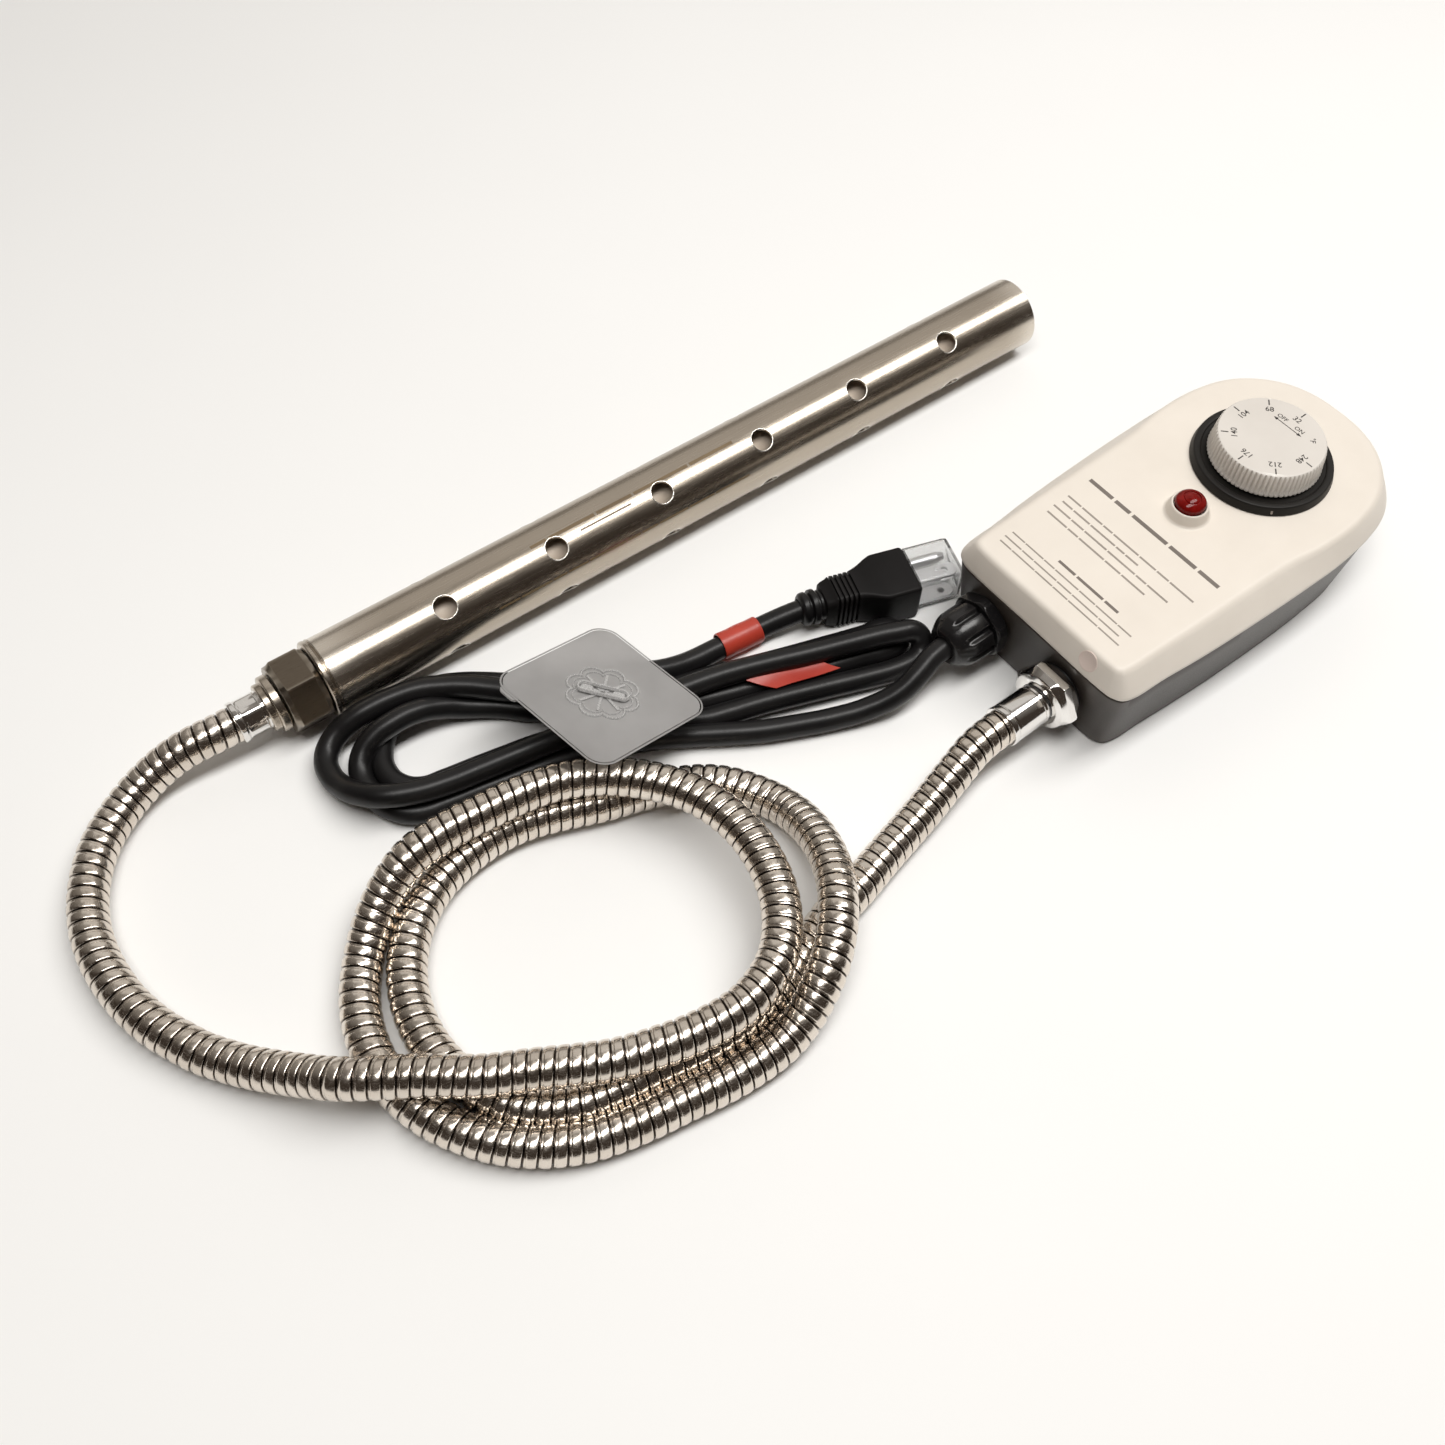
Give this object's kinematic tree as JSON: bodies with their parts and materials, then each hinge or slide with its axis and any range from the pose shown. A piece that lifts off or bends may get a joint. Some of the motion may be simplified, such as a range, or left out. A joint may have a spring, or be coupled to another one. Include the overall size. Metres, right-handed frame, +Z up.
{
  "type": "submersible aquarium heater",
  "caption": "Immersion heater in a perforated metal guard tube, on an armoured conduit from a thermostat controller with a dial, pilot lamp and mains lead.",
  "frame": {"origin": "centre of the bottom of the box around heater tube, controller and hook pad, on the surface they lie on", "axes": "+X along the guard tube from its conduit end to its open end, +Y from the controller to the tube, +Z up"},
  "size_m": [0.5415, 0.2502, 0.065],
  "materials": {
    "titanium": "fine brushed titanium, soft warm sheen",
    "dark_steel": "darker bronze-grey machined metal",
    "chrome": "polished nickel",
    "conduit_steel": "bright strip-wound stainless hose",
    "magnesia": null,
    "resistance_wire": "resistance wire",
    "copper": null,
    "cream_plastic": "fine-grained warm white moulding",
    "black_plastic": "dark warm black moulding",
    "gloss_black": "black moulding with a slight gloss",
    "black_rubber": "flexible black sheath",
    "red_lens": "translucent red lens",
    "red_film": "red plastic tag",
    "clear_plastic": "clear to frosted plastic",
    "zinc": "zinc-plated fastening",
    "beige_plastic": "beige insulating moulding",
    "brass": "plain brass"
  },
  "bodies": {
    "unit": {"guard_tube": "titanium", "end_collar": "titanium", "element_sheath": "titanium", "hex_fitting": "dark_steel", "compression_collar": "dark_steel", "heater_ferrule": "chrome", "controller_ferrule": "chrome", "conduit_lead": "conduit_steel", "conduit_coil": "conduit_steel", "conduit_tail": "conduit_steel", "magnesia_core": "magnesia", "heating_coil": "resistance_wire", "sensing_bulb": "copper", "capillary": "copper", "cover": "cream_plastic", "neutral_wire": "cream_plastic", "base_housing": "black_plastic", "plug_body": "black_plastic", "bezel_ring": "gloss_black", "gland_body": "gloss_black", "gland_lock_nut": "gloss_black", "gasket": "black_rubber", "gland_seal": "black_rubber", "connector_washer": "black_rubber", "line_wire": "black_rubber", "cord_from_gland": "black_rubber", "cord_hank": "black_rubber", "cord_to_plug": "black_rubber", "plug_strain_relief": "black_rubber", "indicator_lens": "red_lens", "tag_sleeve": "red_film", "tag_flag": "red_film", "blade_guard": "clear_plastic", "connector_body": "zinc", "connector_lock_nut": "zinc", "thermostat_screw_1": "zinc", "thermostat_screw_2": "zinc", "line_blade": "zinc", "neutral_blade": "zinc", "ground_pin": "zinc", "cover_screw_1": "zinc", "cover_screw_2": "zinc", "cover_screw_3": "zinc", "cover_screw_4": "zinc", "thermostat_body": "beige_plastic", "lamp_body": "beige_plastic", "terminal_block": "beige_plastic", "ground_wire": "beige_plastic"},
    "dial": {"dial_knob": "cream_plastic", "dial_shaft": "brass"},
    "gland_nut": {"gland_dome_nut": "gloss_black"},
    "conduit_nut": {"union_nut": "chrome"},
    "hook_pad": {"pad_plate": "clear_plastic", "pad_rosette": "clear_plastic", "pad_hook": "clear_plastic"}
  },
  "joints": [
    {"name": "dial_turn", "type": "hinge", "parent": "unit", "child": "dial", "pos_m": [0.1699, -0.0573, 0.0544], "axis": [0, 0, 1], "range_deg": [-45, 225]},
    {"name": "gland_nut_turn", "type": "hinge", "parent": "unit", "child": "gland_nut", "pos_m": [0.02874, -0.03813, 0.018], "axis": [-0.9995, -0.0307, 0], "range_deg": [0, 720]},
    {"name": "conduit_nut_turn", "type": "hinge", "parent": "unit", "child": "conduit_nut", "pos_m": [0.03846, -0.07935, 0.018], "axis": [-0.9995, -0.0307, 0], "range_deg": [0, 720]},
    {"name": "hook_pad_lift", "type": "slide", "parent": "unit", "child": "hook_pad", "axis": [0, 0, 1], "range_m": [0, 0.12]}
  ]
}
